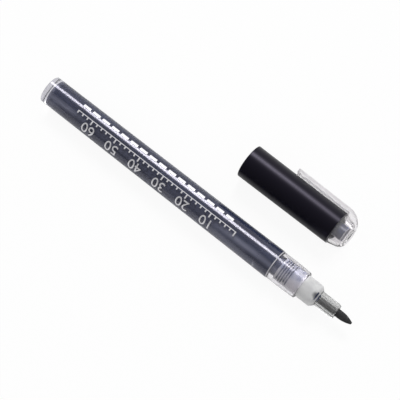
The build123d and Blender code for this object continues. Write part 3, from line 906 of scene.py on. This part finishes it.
def printed_number(number, place):
    """A number in ink, read from the point towards the tail, still without thickness."""
    angle = math.radians(NUMBER_ANGLE)
    outward = Vector((0, math.sin(angle), math.cos(angle)))
    upward = Vector((0, -math.cos(angle), math.sin(angle)))
    middle = Vector((tail_x + place * MM, *marker_axis))
    middle += outward * (BARREL_FRONT_RADIUS + NUMBER_STANDOFF) * MM
    bpy.ops.object.select_all(action="DESELECT")
    bpy.ops.object.text_add(location=middle)
    label = bpy.context.object
    label.rotation_mode = "ZYX"
    label.rotation_euler = (-angle, 0, math.pi)
    label.data.body = str(number)
    label.data.size = NUMBER_HEIGHT * MM
    label.data.align_x = "CENTER"
    label.data.align_y = "CENTER"
    bpy.ops.object.convert(target="MESH")
    bpy.ops.object.mode_set(mode="EDIT")
    for band in range(-NUMBER_CUTS, NUMBER_CUTS + 1):
        bpy.ops.mesh.select_all(action="SELECT")
        bpy.ops.mesh.bisect(plane_co=middle + upward * (band * NUMBER_BAND * MM), plane_no=upward)
    bpy.ops.object.mode_set(mode="OBJECT")
    wrap = label.modifiers.new("wrap", "SHRINKWRAP")
    wrap.wrap_method = "PROJECT"
    wrap.use_project_z = True
    wrap.use_positive_direction = False
    wrap.use_negative_direction = True
    wrap.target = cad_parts["barrel"]
    bpy.ops.object.modifier_apply(modifier=wrap.name)
    bpy.ops.object.transform_apply(location=True, rotation=True, scale=True)
    return label


def make_print(material):
    """Graduations with their numbers and a line along their edge, and a broken line beside them."""
    scale_end = SCALE_ZERO - SCALE_LENGTH
    marks = [printed_mark(scale_end - SCALE_MARK / 2, SCALE_LENGTH + SCALE_MARK, SCALE_LINE)]
    for level in range(0, SCALE_LENGTH + 1, SCALE_STEP):
        numbered = level % NUMBER_STEP == 0
        reach = SCALE_REACH[NUMBER_STEP if numbered else SCALE_STEP]
        place = SCALE_ZERO - level
        edges = (SCALE_LINE[0] - reach, SCALE_LINE[0])
        marks.append(printed_mark(place - SCALE_MARK / 2, SCALE_MARK, edges))
        if numbered and level > 0:
            marks.append(printed_number(level, place))
    for count in range(DASH_COUNT):
        marks.append(printed_mark(DASH_START + count * DASH_PITCH, DASH_LENGTH, DASH_EDGES))
    ink = join("barrel_print", marks)
    layer = ink.modifiers.new("ink_layer", "SOLIDIFY")
    layer.thickness = INK_THICKNESS * MM
    layer.offset = 1.0  # all of it outwards
    bpy.ops.object.modifier_apply(modifier=layer.name)
    bpy.ops.object.shade_smooth_by_angle(angle=SMOOTH_ANGLE)
    set_up(ink, material, "marker")


def make_spring(material):
    """The valve spring as a piece of its own. In the marker it closes up as the nib opens the
    valve.
    """
    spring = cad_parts["valve_spring"].copy()
    spring.data = spring.data.copy()
    spring.name = "spring"
    bpy.context.scene.collection.objects.link(spring)
    bpy.ops.object.select_all(action="DESELECT")
    spring.select_set(True)
    bpy.context.view_layer.objects.active = spring
    bpy.ops.object.mode_set(mode="EDIT")
    bpy.ops.mesh.select_all(action="SELECT")
    bpy.ops.mesh.remove_doubles(threshold=WELD_DISTANCE)
    bpy.ops.object.mode_set(mode="OBJECT")
    set_up(spring, material, "marker")
    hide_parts("valve_spring")
    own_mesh(spring)


clear = clear_styrene(
    "polished_clear_styrene", tint="#d0cfd6", glint="#f4f1ff", polish=BARREL_GLOSS, clarity=1.0
)
handled = clear_styrene(
    "handled_clear_styrene", tint="#efedf1", glint="#bab8c1", polish=SECTION_GLOSS,
    clarity=SECTION_CLARITY,
)
paint = wet_paint()
steel = drawn_steel()
dress(clear, "barrel")
dress(handled, "front_section")
dress(rubbed_styrene(), "cap_end")
dress(thin_polypropylene(), "nib_sleeve")
dress(soaked_fibre(), "nib")
dress(satin_black(), "cap_sleeve")
dress(dark_polyethylene(), "inner_cap")
dress(steel, "mixing_ball")
dress(seat_rubber(), "valve_seat")
dress(white_acetal(), "valve_plunger", "spring_cage")
make_paint(paint)
make_holder(milky_polyethylene())
make_seeped_paint(paint)
# painted highlight: a pale ring for the bright line of light at the barrel's front rim
make_weld(welded_styrene())
make_print(silver_ink())
make_spring(steel)


def make_floor():
    """White card that looks white to the camera and through clear plastic, paler than it is in
    reflections too, and takes a shadow."""
    bpy.ops.object.select_all(action="DESELECT")
    bpy.ops.mesh.primitive_plane_add(size=FLOOR_SIZE, location=(0, 0, 0))
    floor = bpy.context.object
    floor.name = "floor"
    material, tree, _ = new_material("white_card")
    path = add_node(tree, "ShaderNodeLightPath")
    mirrored = add_node(tree, "ShaderNodeMath", {
        0: path.outputs["Is Glossy Ray"], 1: FLOOR_GLOW_MIRRORED,
    }, operation="MULTIPLY")
    seen = add_node(tree, "ShaderNodeMath", {
        0: path.outputs["Is Camera Ray"], 1: path.outputs["Is Transmission Ray"],
    }, operation="MAXIMUM")
    seen_share = add_node(tree, "ShaderNodeMath", {
        0: seen.outputs["Value"], 1: FLOOR_GLOW,
    }, operation="MULTIPLY")
    share = add_node(tree, "ShaderNodeMath", {
        0: seen_share.outputs["Value"], 1: mirrored.outputs["Value"],
    }, operation="MAXIMUM")
    card = add_node(tree, "ShaderNodeBsdfDiffuse", {"Color": linear("#f4f4f4")})
    white = add_node(tree, "ShaderNodeEmission", {"Strength": 1.0})
    mix = add_node(tree, "ShaderNodeMixShader", {
        "Fac": share.outputs["Value"], 1: card.outputs["BSDF"], 2: white.outputs["Emission"],
    })
    add_node(tree, "ShaderNodeOutputMaterial", {"Surface": mix.outputs["Shader"]})
    material.cycles.emission_sampling = "NONE"
    floor.data.materials.append(material)


def make_sky():
    """Soft light from all round, mirrored more brightly on the softbox's side, and white when it
    is seen itself, also straight through clear plastic."""
    world = bpy.data.worlds.new("studio")
    bpy.context.scene.world = world
    world.use_nodes = True
    world.cycles.sampling_method = "NONE"
    tree = world.node_tree
    tree.nodes.clear()
    way = add_node(tree, "ShaderNodeTexCoord")
    axes = add_node(tree, "ShaderNodeSeparateXYZ", {"Vector": way.outputs["Generated"]})
    mirrored = add_node(tree, "ShaderNodeMapRange", {
        "Value": axes.outputs["Y"], "From Min": -1.0,
        "To Min": SKY_SIDES[0], "To Max": SKY_SIDES[1],
    })
    path = add_node(tree, "ShaderNodeLightPath")
    not_scattered = add_node(tree, "ShaderNodeMath", {
        0: path.outputs["Diffuse Depth"], 1: UNSCATTERED,
    }, operation="LESS_THAN")
    soft = add_node(tree, "ShaderNodeMapRange", {
        "Value": not_scattered.outputs["Value"],
        "To Min": SKY_STRENGTH, "To Max": mirrored.outputs["Result"],
    })
    straight_through = add_node(tree, "ShaderNodeMath", {
        0: path.outputs["Is Transmission Ray"], 1: not_scattered.outputs["Value"],
    }, operation="MULTIPLY")
    seen = add_node(tree, "ShaderNodeMath", {
        0: path.outputs["Is Camera Ray"], 1: straight_through.outputs["Value"],
    }, operation="MAXIMUM")
    strength = add_node(tree, "ShaderNodeMapRange", {
        "Value": seen.outputs["Value"], "To Min": soft.outputs["Result"], "To Max": 1.0,
    })
    sky = add_node(tree, "ShaderNodeBackground", {
        "Color": (1, 1, 1, 1), "Strength": strength.outputs["Result"],
    })
    add_node(tree, "ShaderNodeOutputWorld", {"Surface": sky.outputs["Background"]})


def make_key_light():
    """Softbox over the cap's side of the marker, not seen through clear plastic."""
    lean = math.radians(KEY_LEAN)
    lamp = bpy.data.lights.new("softbox", "AREA")
    lamp.shape = "RECTANGLE"
    lamp.size = KEY_LENGTH
    lamp.size_y = KEY_WIDTH
    lamp.energy = KEY_POWER
    softbox = bpy.data.objects.new("softbox", lamp)
    bpy.context.scene.collection.objects.link(softbox)
    softbox.location = (KEY_ALONG, KEY_DISTANCE * math.sin(lean), KEY_DISTANCE * math.cos(lean))
    softbox.rotation_euler = (-lean, 0, 0)
    softbox.visible_transmission = False


def make_camera():
    """Camera at the photograph's angle."""
    azimuth = math.radians(CAMERA_AZIMUTH)
    elevation = math.radians(CAMERA_ELEVATION)
    forward = Vector((
        -math.sin(azimuth) * math.cos(elevation),
        math.cos(azimuth) * math.cos(elevation),
        -math.sin(elevation),
    ))
    data = bpy.data.cameras.new("camera")
    data.sensor_width = SENSOR_WIDTH
    data.lens = CAMERA_LENS
    camera = bpy.data.objects.new("camera", data)
    bpy.context.scene.collection.objects.link(camera)
    camera.location = CAMERA_TARGET - forward * CAMERA_DISTANCE
    camera.rotation_euler = forward.to_track_quat("-Z", "Y").to_euler()
    bpy.context.scene.camera = camera


make_floor()
make_sky()
make_key_light()
make_camera()
bpy.context.scene.view_settings.view_transform = "Standard"
